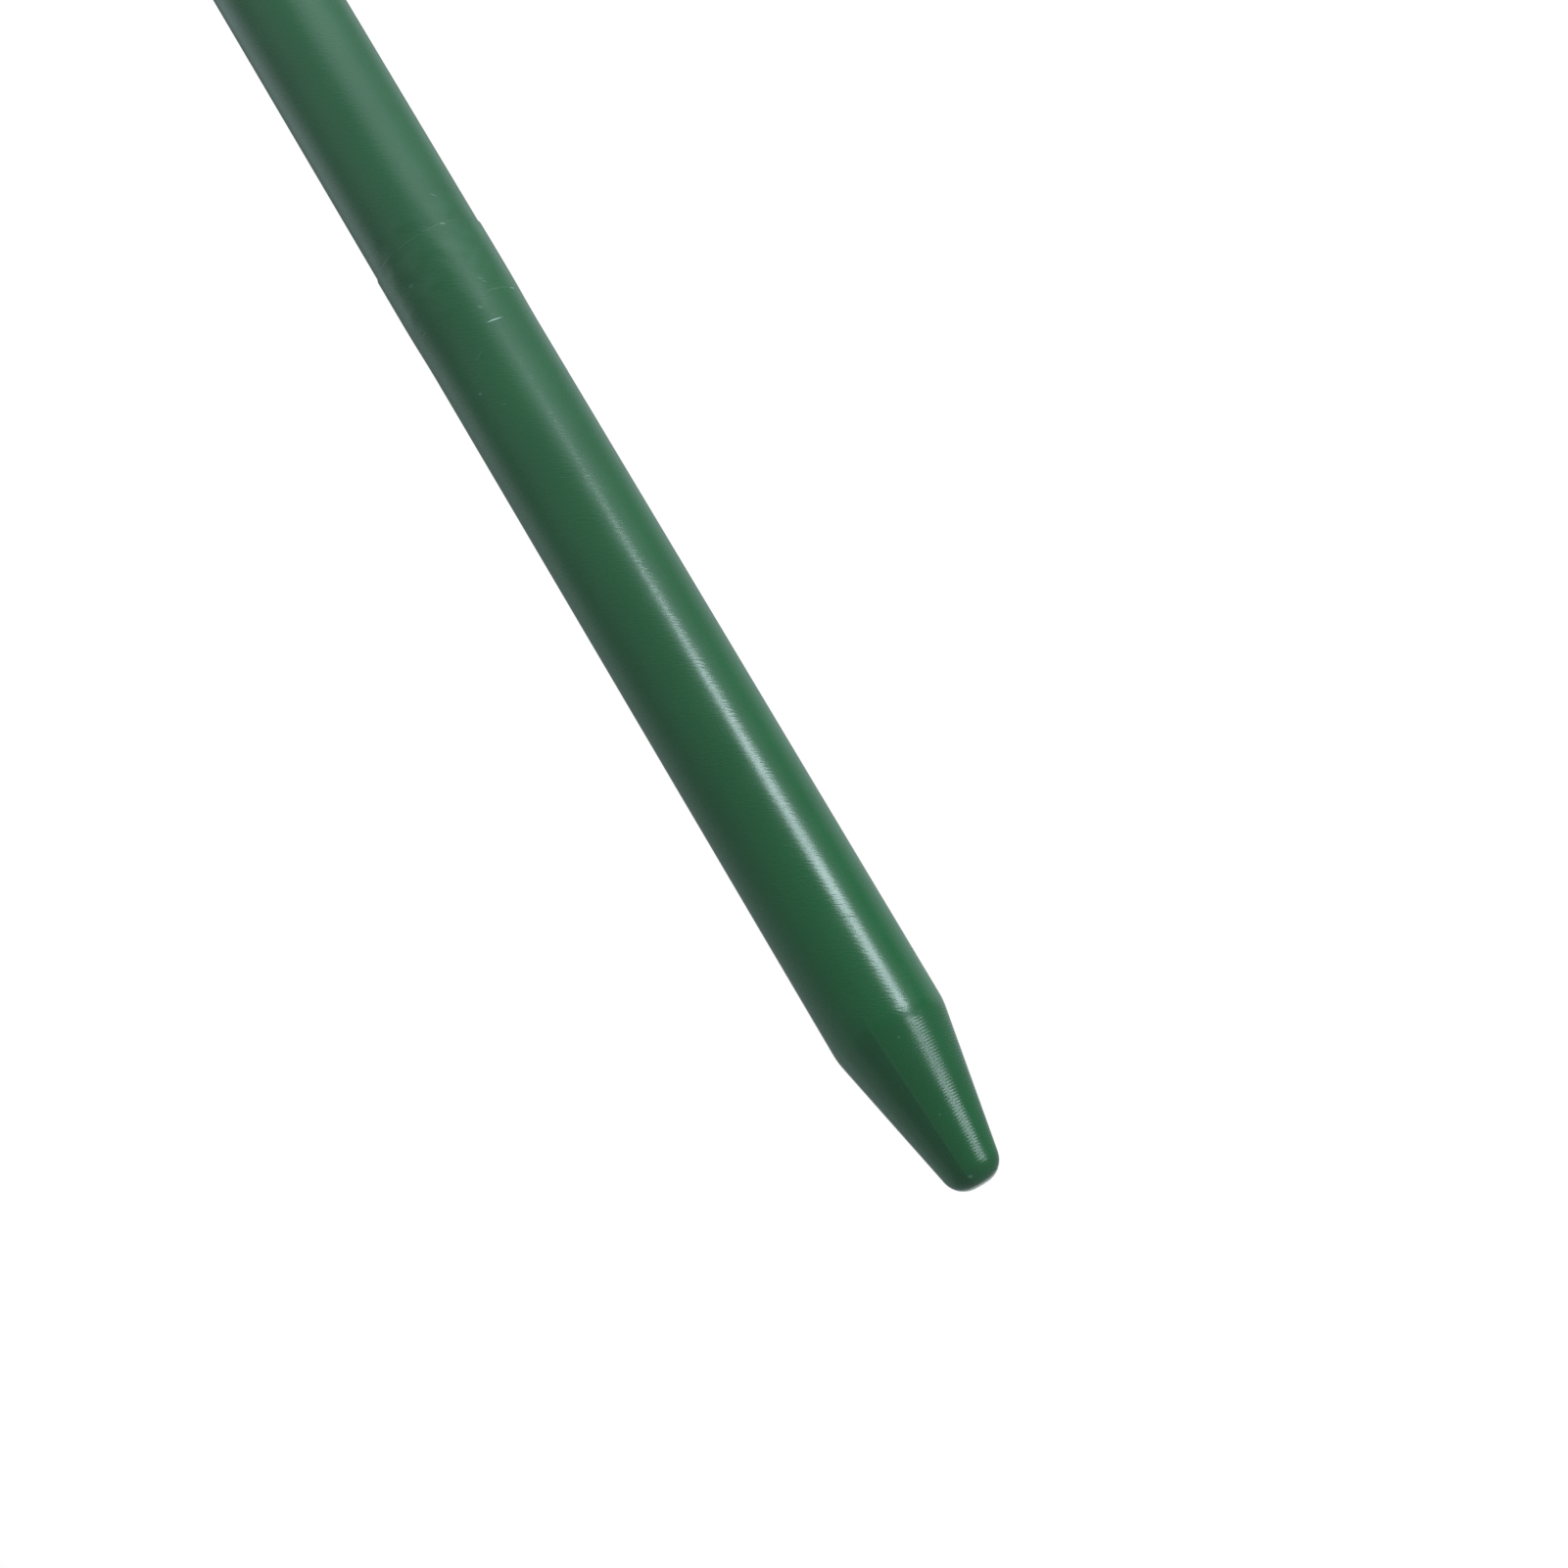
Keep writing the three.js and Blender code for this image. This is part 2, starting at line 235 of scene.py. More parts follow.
class StakeFinish(bpy.types.PropertyGroup):
    """Colours and surface of the plastic and the steel"""

    green: colour("Green", "Colour of the moulded plastic", (0.0040, 0.0720, 0.0182))
    deep_green: colour("Deep green", "Darker clouds in the plastic", (0.0036, 0.0660, 0.0166))
    # The same pale colour also paints the highlight on the band's ring lines
    scuff_and_ring_sheen: colour("Scuff", "Pale stress marks where the plastic is scratched", (0.30, 0.42, 0.36))
    gloss: amount("Specular level", "How much light the plastic's surface reflects", 0.6)
    smooth_roughness: amount("Smooth roughness", "Roughness of the glossiest patches", 0.235)
    dull_roughness: amount("Dull roughness", "Roughness of the dullest patches", 0.275)
    scuff_roughness: amount("Scuff roughness", "Roughness that a scuff adds", 0.2)
    grain_depth: length("Grain depth", "Depth of the fine scratches all over the plastic", 0.0065)
    grain_length: length("Grain length", "Length of a fine scratch", 0.9)
    grain_width: length("Grain width", "Width of a fine scratch", 0.17)
    grain_slant: angle("Grain slant", "Slant of the fine scratches from lying round the stem", 29)
    cone_grain: amount("Cone grain", "Share of the grain's depth that is left on the turned cone", 0.5)
    ring_pitch: length("Ring pitch", "Spacing of the turned rings on the cone", 0.27)
    ring_depth: length("Ring depth", "Depth of the turned rings on the cone", 0.0025)
    sink_depth: length("Sink depth", "Depth of the soft unevenness round a socket", 0.07)
    sink_width: length("Sink width", "Width of a soft hollow round a socket", 2.8)
    groove_depth: length("Groove depth", "Depth of the deepest scratch", 0.02)
    mark_ragged: length("Ragged edges", "How far the edges of the marks wander", 0.08)
    parting_angle: angle("Parting line", "Place of the mould's parting line on the cone, to the right", -15)
    # Painted shade: how much darker the green is painted on the side of the cone's parting line that turns
    # from the light
    parting_painted_shade: amount("Parting shade", "How much deeper the green is beside the parting line", 0.23)
    seam_pale: amount("Seam", "Share of the scuff colour on the parting line", 0.02)
    zinc: colour("Zinc", "Colour of the zinc-plated core", (0.55, 0.56, 0.58))
    dull_zinc: amount("Dull zinc", "How bright the duller patches of zinc are", 0.8)
    zinc_smooth: amount("Smooth zinc", "Roughness of the smoothest zinc", 0.25)
    zinc_dull: amount("Rough zinc", "Roughness of the dullest zinc", 0.4)
    drawn_length: length("Drawn length", "Length of a line that the drawing of the tube left", 7)
    drawn_width: length("Drawn width", "Width of such a line", 0.11)
    drawn_depth: length("Drawn depth", "Depth of such a line", 0.001)


class StudioSettings(bpy.types.PropertyGroup):
    """Camera, lamps, floor and world"""

    camera_back: length("Camera distance", "Distance of the camera from the stem's axis", 289.4)
    camera_drop: length("Camera drop", "How far the camera is below the nose", 17)
    camera_yaw: angle("Camera yaw", "Turn of the camera to the right", 0.617)
    camera_pitch: angle("Camera pitch", "Tilt of the camera upwards", 11.157)
    camera_roll: angle("Camera roll", "Turn of the camera about its view", -30.766)
    camera_lens: amount("Camera lens", "Focal length in millimetres on a 36 mm sensor", 74.77)
    floor_drop: length("Floor drop", "How far the floor is below the nose", 300)
    floor_size: length("Floor size", "Width of the floor", 60000)
    floor_colour: colour("Floor", "Colour of the floor", (0.29, 0.29, 0.29))
    floor_glow: amount("Floor glow", "How much whiter the camera sees the floor", 0.75)
    glow_start: length("Glow start", "Distance at which reflections begin to see the floor's glow", 150)
    glow_full: length("Glow full", "Distance from which reflections see all of it", 600)
    light_colour: colour("Light", "Colour of the soft light", (0.79, 0.92, 1.0))
    lamp_distance: length("Lamp distance", "Distance of the lamps from the stem", 400)


# Nearest distance that the camera sees
CAMERA_NEAR = 10 * MM
# Angles from straight behind the stake within which reflections see only white, and past which they see none
BACK_FULL, BACK_EDGE = math.radians(14), math.radians(20)

# Flat lamps that face the stem: one for the stem's streak, one for the cone's and a panel for the cone's dark
# side. In degrees and millimetres: angle to the right of the front, height of the middle above the nose,
# width, height, lean to the left, brightness
Lamp = namedtuple("Lamp", "name around height width tall lean radiance")
LAMPS = (
    Lamp("key_lamp", 44.3, 92, 84, 140, 47, 17.4),
    Lamp("low_lamp", 55, -110, 49, 250, 70, 12.3),
    Lamp("fill_panel", -105, -70, 420, 260, 0, 0.19),
)

# Soft light in the world: a wide wash and a high light on the left, one overhead in front, one above the key
# lamp, one behind on the right and a small one high on the right. In degrees: angle to the right of the
# front, angle up, angle from the middle to the edge, brightness
SoftLight = namedtuple("SoftLight", "around up spread strength")
SOFT_LIGHTS = (
    SoftLight(-100, 7, 89, 0.5),
    SoftLight(-114, 45, 36, 0.72),
    SoftLight(0, 57, 70, 1.0),
    SoftLight(59, 39, 48, 1.42),
    SoftLight(130, 12, 47, 0.82),
    SoftLight(70, 60, 30, 5.2),
)


def select_only(*pieces):
    """Select these objects alone and make the first one active."""
    bpy.ops.object.select_all(action="DESELECT")
    for piece in pieces:
        piece.select_set(True)
    bpy.context.view_layer.objects.active = pieces[0]


def corner_arc(corner, before, after, radius):
    """The arc that rounds a corner between two directions, with a holding point on each straight."""
    half = before.angle(after) / 2
    start = corner + before * radius / math.tan(half)
    centre = corner + (before + after).normalized() * radius / math.sin(half)
    sweep = (math.pi - 2 * half) * math.copysign(1, before.cross(after))
    spoke = start - centre
    turns = (Matrix.Rotation(-sweep * step / ARC_STEPS, 2) for step in range(ARC_STEPS + 1))
    arc = [centre + turn @ spoke for turn in turns]
    return [start + before * HOLD, *arc, arc[-1] + after * HOLD]


def rounded(corners):
    """An outline through corners of (radius, height) or (radius, height, round)."""
    outline = []
    for index, (radius, height, *rounds) in enumerate(corners):
        corner = Vector((radius, height))
        if not rounds:
            outline.append(corner)
            continue
        before = (Vector(corners[index - 1][:2]) - corner).normalized()
        after = (Vector(corners[index + 1][:2]) - corner).normalized()
        outline.extend(corner_arc(corner, before, after, rounds[0]))
    return outline


def turned_piece(name, outline, faces):
    """Draw an outline point by point and spin it round the Z axis into a closed shape."""
    start = outline[0]
    bpy.ops.object.select_all(action="DESELECT")
    bpy.ops.mesh.primitive_plane_add(size=MM, location=(start.x, 0, start.y))
    bpy.ops.object.transform_apply()
    piece = bpy.context.object
    piece.name = name
    bpy.ops.object.mode_set(mode="EDIT")
    bpy.ops.mesh.merge(type="CENTER")
    for here, there in zip(outline, outline[1:]):
        move = there - here
        bpy.ops.mesh.extrude_vertices_move(TRANSFORM_OT_translate={"value": (move.x, 0, move.y)})
    bpy.ops.mesh.select_all(action="SELECT")
    bpy.ops.mesh.spin(steps=faces, angle=2 * math.pi, center=(0, 0, 0), axis=(0, 0, 1))
    close_mesh()
    bpy.ops.object.mode_set(mode="OBJECT")
    return piece


def close_mesh():
    """In edit mode, merge the seams and poles and point the faces outwards."""
    bpy.ops.mesh.select_all(action="SELECT")
    bpy.ops.mesh.remove_doubles(threshold=SAME_POINT)
    bpy.ops.mesh.normals_make_consistent(inside=False)


def turn_ring(by, centre):
    """In edit mode, turn what is selected about the Y axis through a point, right-handed."""
    bpy.ops.transform.rotate(value=-by, orient_axis="Y", center_override=centre)


def combine(piece, tool, operation):
    """Join a tool to a piece or cut it away, and remove the tool."""
    select_only(piece)
    bpy.ops.object.modifier_add(type="BOOLEAN")
    modifier = piece.modifiers[-1]
    modifier.operation = operation
    modifier.solver = "EXACT"
    modifier.object = tool
    bpy.ops.object.modifier_apply(modifier=modifier.name)
    bpy.data.objects.remove(tool)


def soften_crease(piece, inside, sharpness, repeat):
    """Smooth the crease where two joined shapes meet, among the points that a test lets through."""
    select_only(piece)
    bpy.ops.object.mode_set(mode="EDIT")
    bpy.ops.mesh.select_all(action="SELECT")
    bpy.context.scene.cursor.location = SORT_FROM
    bpy.ops.mesh.sort_elements(type="CURSOR_DISTANCE", elements={"VERT", "EDGE", "FACE"})
    bpy.ops.mesh.remove_doubles(threshold=CREASE_POINT)
    bpy.ops.mesh.select_all(action="DESELECT")
    bpy.ops.mesh.select_mode(type="EDGE")
    bpy.ops.mesh.edges_select_sharp(sharpness=sharpness)
    bpy.ops.mesh.select_mode(type="VERT")
    bpy.ops.object.mode_set(mode="OBJECT")
    for vertex in piece.data.vertices:
        vertex.select = vertex.select and inside(vertex.co)
    for edge in piece.data.edges:
        edge.select = all(piece.data.vertices[index].select for index in edge.vertices)
    for face in piece.data.polygons:
        face.select = False
    bpy.ops.object.mode_set(mode="EDIT")
    for _ in range(CREASE_RINGS):
        bpy.ops.mesh.select_more()
    bpy.ops.mesh.vertices_smooth(factor=0.5, repeat=repeat)
    bpy.ops.object.mode_set(mode="OBJECT")


def copy_of(piece, name, place):
    """A copy with its own mesh, moved by a matrix that is then applied."""
    select_only(piece)
    bpy.ops.object.duplicate(linked=False)
    copy = bpy.context.object
    copy.name = name
    copy.matrix_world = place
    bpy.ops.object.transform_apply()
    return copy


def hand_over(piece, node, paint):
    """Finish a piece: shade it, paint it, and let it stand for a node on that node's body."""
    select_only(piece)
    bpy.ops.object.shade_smooth_by_angle(angle=SHARP_EDGE)
    piece.data.materials.clear()
    piece.data.materials.append(paint(bpy.context.scene.stake_finish))
    bodies = frame["record"]["behaviour"]["bodies"]
    body = next(body for body, nodes in bodies.items() if node in nodes)
    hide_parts(node)
    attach(piece, body)


def spigot_corners(sizes, shoulder):
    """A spigot and the rounded shoulder above it, upwards."""
    spigot = sizes.spigot_diameter / 2
    low = shoulder - sizes.spigot_length
    return [
        (spigot - sizes.spigot_lead, low),
        (spigot, low + sizes.spigot_lead),
        (spigot, shoulder),
        (sizes.stem_diameter / 2, shoulder, sizes.rim_round),
    ]


def band_corners(sizes, rim):
    """The swollen band and the rounded rim of a socket, upwards."""
    stem = sizes.stem_diameter / 2
    band = sizes.band_diameter / 2
    return [
        (stem, rim - sizes.band_length - sizes.band_ramp, sizes.ramp_round),
        (band, rim - sizes.band_length, sizes.ramp_round),
        (band, rim, sizes.rim_round),
    ]


def socket_corners(sizes, rim):
    """A socket from its rim down to its floor and in to the core's bore."""
    socket = sizes.spigot_diameter / 2 + sizes.socket_clearance
    bore = bore_radius(sizes)
    floor = rim - sizes.spigot_length - sizes.end_gap
    return [(socket, rim), (socket, floor), (bore, floor)]


def bore_radius(sizes):
    """The radius of the bore round the core."""
    return core_high.x + sizes.core_clearance


def shoulder_of(node, sizes):
    """The height of the shoulder above a node's spigot."""
    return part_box(node)[0].z + sizes.spigot_length


def rim_below(node, sizes):
    """The height of a rim that leaves the joint's gap below a node's shoulder."""
    return shoulder_of(node, sizes) - sizes.joint_gap


class STAKE_OT_core(bpy.types.Operator):
    """Turn the thin-walled steel tube that holds the stack of sleeves"""

    bl_idname = "stake.core"
    bl_label = "Core tube"

    def execute(self, context):
        sizes = context.scene.stem_sizes
        outer = core_high.x
        inner = outer - sizes.core_wall
        edge = sizes.rim_round
        outline = rounded([
            (inner, core_low.z),
            (outer, core_low.z, edge),
            (outer, core_high.z, edge),
            (inner, core_high.z),
            (inner, core_low.z),
        ])
        piece = turned_piece("steel_core", outline, STEM_FACES)
        hand_over(piece, "core_tube", zinc_steel)
        return {"FINISHED"}


class STAKE_OT_point(bpy.types.Operator):
    """Turn the moulded point with its blunt cone and swollen socket"""

    bl_idname = "stake.point"
    bl_label = "Point"

    def execute(self, context):
        sizes = context.scene.stem_sizes
        rim = rim_below("plain_section", sizes)
        seat = core_low.z - sizes.core_seat_gap
        outline = rounded([
            (0, nose_height),
            (sizes.nose_diameter / 2, nose_height, sizes.nose_round),
            (sizes.stem_diameter / 2, nose_height + sizes.cone_length, sizes.cone_shoulder_round),
            *band_corners(sizes, rim),
            *socket_corners(sizes, rim),
            (bore_radius(sizes), seat),
            (0, seat),
        ])
        piece = turned_piece("moulded_point", outline, STEM_FACES)
        hand_over(piece, "point_section", green_plastic)
        return {"FINISHED"}


class STAKE_OT_plain_sleeve(bpy.types.Operator):
    """Turn the plain sleeve above the point, with a spigot below and a socket above"""

    bl_idname = "stake.plain_sleeve"
    bl_label = "Plain sleeve"

    def execute(self, context):
        sizes = context.scene.stem_sizes
        shoulder = shoulder_of("plain_section", sizes)
        rim = rim_below("branch_section_1", sizes)
        bore = bore_radius(sizes)
        low = shoulder - sizes.spigot_length
        outline = rounded([
            (bore, low),
            *spigot_corners(sizes, shoulder),
            *band_corners(sizes, rim),
            *socket_corners(sizes, rim),
            (bore, low),
        ])
        piece = turned_piece("plain_sleeve", outline, STEM_FACES)
        hand_over(piece, "plain_section", green_plastic)
        return {"FINISHED"}


def boss_slant():
    """The boss's angle from upright."""
    return math.acos(joints["twig_turn_1"]["axis"][2])


def boss_point(along, height):
    """A point of the boss's axis, in the plane of the boss."""
    slant = boss_slant()
    return Vector((along * math.sin(slant), 0, height + along * math.cos(slant)))


def collar_rings(branch, height):
    """The collar's rings as (centre, half width, half height, tilt), from the stem out to the rim's round."""
    boss = branch.boss_diameter / 2
    slant = boss_slant()
    first = branch.collar_inset / math.sin(slant)
    last = branch.boss_reach - branch.boss_rim_round
    rings = []
    for step in range(COLLAR_STEPS + 1):
        share = step / COLLAR_STEPS
        swell = (1 - share) ** 2
        half_width = boss + (branch.collar_width / 2 - boss) * swell
        half_height = boss + (branch.collar_height / 2 - boss) * swell
        tilt = (math.pi / 2 - slant) * share
        rings.append((boss_point(first + (last - first) * share, height), half_width, half_height, tilt))
    for step in range(1, ARC_STEPS + 1):
        turn = step / ARC_STEPS * math.pi / 2
        along = last + branch.boss_rim_round * math.sin(turn)
        radius = boss - branch.boss_rim_round * (1 - math.cos(turn))
        rings.append((boss_point(along, height), radius, radius, math.pi / 2 - slant))
    return rings


def start_disc(faces, radius, centre, lean):
    """Add a disc that leans about the Y axis, and select it in edit mode, ready to be extruded."""
    bpy.ops.object.select_all(action="DESELECT")
    bpy.ops.mesh.primitive_circle_add(
        vertices=faces,
        radius=radius,
        fill_type="NGON",
        location=centre,
        rotation=(0, lean, 0),
    )
    bpy.ops.object.transform_apply()
    bpy.ops.object.mode_set(mode="EDIT")
    bpy.ops.mesh.select_all(action="SELECT")
    return bpy.context.object


def collar_shape(branch, height):
    """Extrude an upright ellipse ring by ring into the collar and boss, tilting and narrowing it."""
    rings = collar_rings(branch, height)
    centre, half_width, half_height, tilt = rings[0]
    collar = start_disc(COLLAR_FACES, half_height, centre, math.pi / 2)
    bpy.ops.transform.resize(value=(1, half_width / half_height, 1), center_override=centre)
    for next_centre, next_width, next_height, next_tilt in rings[1:]:
        move = next_centre - centre
        bpy.ops.mesh.extrude_region_move(TRANSFORM_OT_translate={"value": move})
        turn_ring(tilt, next_centre)
        scale = (1, next_width / half_width, next_height / half_height)
        bpy.ops.transform.resize(value=scale, center_override=next_centre)
        turn_ring(-next_tilt, next_centre)
        centre, half_width, half_height, tilt = next_centre, next_width, next_height, next_tilt
    bpy.ops.mesh.select_all(action="SELECT")
    bpy.ops.mesh.normals_make_consistent(inside=False)
    bpy.ops.object.mode_set(mode="OBJECT")
    return collar


def ladder(radius, low, high):
    """Points up a straight wall, close enough together to be shaped further."""
    count = round((high - low) / LADDER_STEP)
    return [(radius, low + (high - low) * index / count) for index in range(count + 1)]


def branch_sleeve(sizes, branch):
    """A sleeve with its collar and boss, bored for the core, the next spigot and the twig's plug."""
    shoulder = shoulder_of("branch_section_1", sizes)
    rim = rim_below("branch_section_2", sizes)
    height = joints["twig_turn_1"]["pos_m"][2]
    stem = sizes.stem_diameter / 2
    low = shoulder - sizes.spigot_length
    outline = rounded([
        (0, low),
        *spigot_corners(sizes, shoulder),
        *ladder(stem, height - branch.collar_height / 2, height + branch.collar_height),
        *band_corners(sizes, rim),
        (0, rim),
    ])
    sleeve = turned_piece("branch_sleeve", outline, STEM_FACES)
    combine(sleeve, collar_shape(branch, height), "UNION")

    def on_crease(point):
        near_stem = abs(math.hypot(point.x, point.y) - stem) < CREASE_STRAY
        return near_stem and abs(point.z - height) < branch.collar_height

    soften_crease(sleeve, on_crease, COLLAR_CREASE, COLLAR_SMOOTHING)
    combine(sleeve, core_bore_tool(sizes, low, rim), "DIFFERENCE")
    combine(sleeve, plug_socket_tool(branch, height), "DIFFERENCE")
    return sleeve


def core_bore_tool(sizes, low, rim):
    """What a branch sleeve's core and upper spigot take out of it."""
    bore = bore_radius(sizes)
    (socket, _), (_, floor), _ = socket_corners(sizes, rim)
    outline = rounded([
        (0, low - CUT_OVER),
        (bore, low - CUT_OVER),
        (bore, floor),
        (socket, floor),
        (socket, rim + CUT_OVER),
        (0, rim + CUT_OVER),
    ])
    return turned_piece("core_bore", outline, STEM_FACES)


def plug_socket_tool(branch, height):
    """What the twig's plug takes out of the boss."""
    radius = branch.plug_diameter / 2 + branch.plug_clearance
    floor = branch.boss_reach - branch.plug_length - branch.plug_end_gap
    mouth = branch.boss_reach + CUT_OVER
    outline = rounded([(0, floor), (radius, floor), (radius, mouth), (0, mouth)])
    tool = turned_piece("plug_socket", outline, COLLAR_FACES)
    tool.matrix_world = Matrix.Translation((0, 0, height)) @ Matrix.Rotation(boss_slant(), 4, "Y")
    return tool


def branch_place(number):
    """Where a branch stands, from where the first one stands."""
    first = joints["twig_turn_1"]
    here = joints[f"twig_turn_{number}"]
    climb = here["pos_m"][2] - first["pos_m"][2]
    turn = math.atan2(here["axis"][1], here["axis"][0])
    return Matrix.Translation((0, 0, climb)) @ Matrix.Rotation(turn, 4, "Z")


class STAKE_OT_branch_sleeves(bpy.types.Operator):
    """Model one branch sleeve with its collar and copy it to every branch"""

    bl_idname = "stake.branch_sleeves"
    bl_label = "Branch sleeves"

    def execute(self, context):
        scene = context.scene
        model = branch_sleeve(scene.stem_sizes, scene.branch_sizes)
        for number in range(1, branch_count + 1):
            piece = copy_of(model, f"branch_sleeve_{number}", branch_place(number))
            hand_over(piece, f"branch_section_{number}", green_plastic)
        bpy.data.objects.remove(model)
        return {"FINISHED"}


def tine_shape(branch, reach, start_lean, end_lean):
    """Extrude a disc ring by ring along an arc, narrowing it to a round tip."""
    root = branch.tine_root_diameter / 2
    tip = branch.tine_tip_diameter / 2
    straight = reach - tip
    step_length = straight / TINE_STEPS
    step_lean = (end_lean - start_lean) * straight / reach / TINE_STEPS
    centre = Vector((0, 0, branch.shank_length))
    tine = start_disc(TWIG_FACES, root, centre, start_lean)
    lean = start_lean
    radius = root
    for step in range(1, TINE_STEPS + 1):
        middle = lean + step_lean / 2
        move = leaning(middle) * step_length
        centre = centre + move
        lean += step_lean
        narrow = root + (tip - root) * step / TINE_STEPS
        grow_ring(move, centre, narrow / radius, step_lean)
        radius = narrow
    for step in range(1, TIP_STEPS):
        before, after = ((step + part) / TIP_STEPS * math.pi / 2 for part in (-1, 0))
        move = leaning(lean) * tip * (math.sin(after) - math.sin(before))
        centre = centre + move
        grow_ring(move, centre, math.cos(after) / math.cos(before), 0)
    last = math.sin((TIP_STEPS - 1) / TIP_STEPS * math.pi / 2)
    move = leaning(lean) * tip * (1 - last)
    bpy.ops.mesh.extrude_region_move(TRANSFORM_OT_translate={"value": move})
    bpy.ops.mesh.merge(type="CENTER")
    close_mesh()
    bpy.ops.object.mode_set(mode="OBJECT")
    return tine


def leaning(lean):
    """The direction that leans from upright in the plane of the fork."""
    return Vector((math.sin(lean), 0, math.cos(lean)))


def grow_ring(move, centre, scale, turn):
    """In edit mode, extrude the selected ring to a new centre, scale it and turn it there."""
    bpy.ops.mesh.extrude_region_move(TRANSFORM_OT_translate={"value": move})
    bpy.ops.transform.resize(value=(scale, scale, scale), center_override=centre)
    turn_ring(turn, centre)


def forked_twig(branch):
    """Plug, tapered shank and two tines, upright, with the twig's seat at height 0."""
    plug = branch.plug_diameter / 2
    neck = branch.neck_diameter / 2
    low = -branch.plug_length
    top = branch.shank_length + neck
    outline = rounded([
        (0, low),
        (plug - branch.plug_lead, low),
        (plug, low + branch.plug_lead),
        (plug, 0),
        (branch.root_diameter / 2, 0, branch.root_round),
        (neck, branch.shank_length),
        (neck, top, branch.neck_round),
        (0, top),
    ])
    twig = turned_piece("forked_twig", outline, TWIG_FACES)
    main = tine_shape(branch, branch.main_tine_length, branch.main_tine_start, branch.main_tine_end)
    combine(twig, main, "UNION")
    side = tine_shape(branch, branch.side_tine_length, branch.side_tine_start, branch.side_tine_end)
    combine(twig, side, "UNION")

    def in_fork(point):
        return abs(point.z - branch.shank_length) < branch.root_diameter * 2

    soften_crease(twig, in_fork, FORK_CREASE, FORK_SMOOTHING)
    return twig


class STAKE_OT_twigs(bpy.types.Operator):
    """Model one forked twig and plug a copy into every boss"""

    bl_idname = "stake.twigs"
    bl_label = "Forked twigs"

    def execute(self, context):
        scene = context.scene
        branch = scene.branch_sizes
        model = forked_twig(branch)
        height = joints["twig_turn_1"]["pos_m"][2]
        seat = boss_point(branch.boss_reach + branch.seat_gap, height)
        plugged = Matrix.Translation(seat) @ Matrix.Rotation(boss_slant(), 4, "Y")
        for number in range(1, branch_count + 1):
            piece = copy_of(model, f"forked_twig_{number}", branch_place(number) @ plugged)
            hand_over(piece, f"twig_{number}", green_plastic)
        bpy.data.objects.remove(model)
        return {"FINISHED"}


class STAKE_OT_cap(bpy.types.Operator):
    """Turn the cap that closes the stack"""

    bl_idname = "stake.cap"
    bl_label = "Cap"

    def execute(self, context):
        sizes = context.scene.stem_sizes
        shoulder = shoulder_of("top_cap", sizes)
        bore = bore_radius(sizes)
        bore_end = core_high.z + sizes.end_gap
        outline = rounded([
            (0, bore_end),
            (bore, bore_end),
            (bore, shoulder - sizes.spigot_length),
            *spigot_corners(sizes, shoulder),
            (sizes.stem_diameter / 2, cap_top, sizes.cap_edge_round),
            (0, cap_top),
        ])
        piece = turned_piece("push_cap", outline, STEM_FACES)
        hand_over(piece, "top_cap", green_plastic)
        return {"FINISHED"}


def add_node(tree, kind, inputs=None, **settings):
    """Add a shader node, set its options, and set or link its inputs."""
    node = tree.nodes.new("ShaderNode" + kind)
    for name, value in settings.items():
        setattr(node, name, value)
    for key, value in (inputs or {}).items():
        if isinstance(value, bpy.types.NodeSocket):
            tree.links.new(value, node.inputs[key])
        else:
            node.inputs[key].default_value = value
    return node


def calculate(tree, operation, *values):
    """A Math node's result."""
    return add_node(tree, "Math", dict(enumerate(values)), operation=operation).outputs[0]


def vector_math(tree, operation, inputs, output=0):
    """A Vector Math node's result."""
    return add_node(tree, "VectorMath", inputs, operation=operation).outputs[output]


def product(tree, result, *factors):
    """A value multiplied by each factor in turn."""
    for factor in factors:
        result = calculate(tree, "MULTIPLY", result, factor)
    return result


def fade(tree, value, start, end):
    """A smooth fade from 0 at one value to 1 at another."""
    inputs = {"Value": value, "From Min": start, "From Max": end}
    return add_node(tree, "MapRange", inputs, interpolation_type="SMOOTHSTEP").outputs[0]


def between(tree, share, low, high):
    """A number between two limits."""
    return add_node(tree, "MapRange", {"Value": share, "To Min": low, "To Max": high}).outputs[0]


def mix_colours(tree, share, first, second):
    """A colour between two colours, which the Mix node takes at sockets 6 and 7 and gives at 2."""
    return add_node(tree, "Mix", {0: share, 6: first, 7: second}, data_type="RGBA").outputs[2]


def noise(tree, place, scale, detail=2.0, output="Fac"):
    """Soft noise at a place, in marks per metre."""
    inputs = {"Vector": place, "Scale": scale, "Detail": detail}
    return add_node(tree, "TexNoise", inputs).outputs[output]


def moved_to(tree, place, location, rotation, scale):
    """A place as seen from a box that stands at a location, turned and scaled."""
    inputs = {"Vector": place, "Location": location, "Rotation": rotation, "Scale": scale}
    return add_node(tree, "Mapping", inputs, vector_type="TEXTURE").outputs[0]


def opaque(rgb):
    """A colour with its alpha."""
    return (*rgb, 1.0)


def new_material(name):
    """An empty node material."""
    material = bpy.data.materials.new(name)
    material.use_nodes = True
    material.node_tree.nodes.clear()
    return material


# Marks per metre in the noise of each finish
GLOSS_PATCHES = 260
CLOUDS = 85
RAGGED_EDGES = 4000
RING_WANDER = 900
ZINC_PATCHES = 400
# Noise lies round this value, and mostly fills this share of its range
NOISE_MIDDLE = 0.5
NOISE_SPAN = 0.5
# The values of noise between which a patch or a cloud fades in
PATCH_EDGE = (0.3, 0.7)
CLOUD_EDGE = (0.35, 0.65)

# The parting line, and the painted shade beside it, are whole this far below the cone's top and end this far
# above it
PARTING_BELOW, PARTING_ABOVE = 1.5 * MM, 3.5 * MM
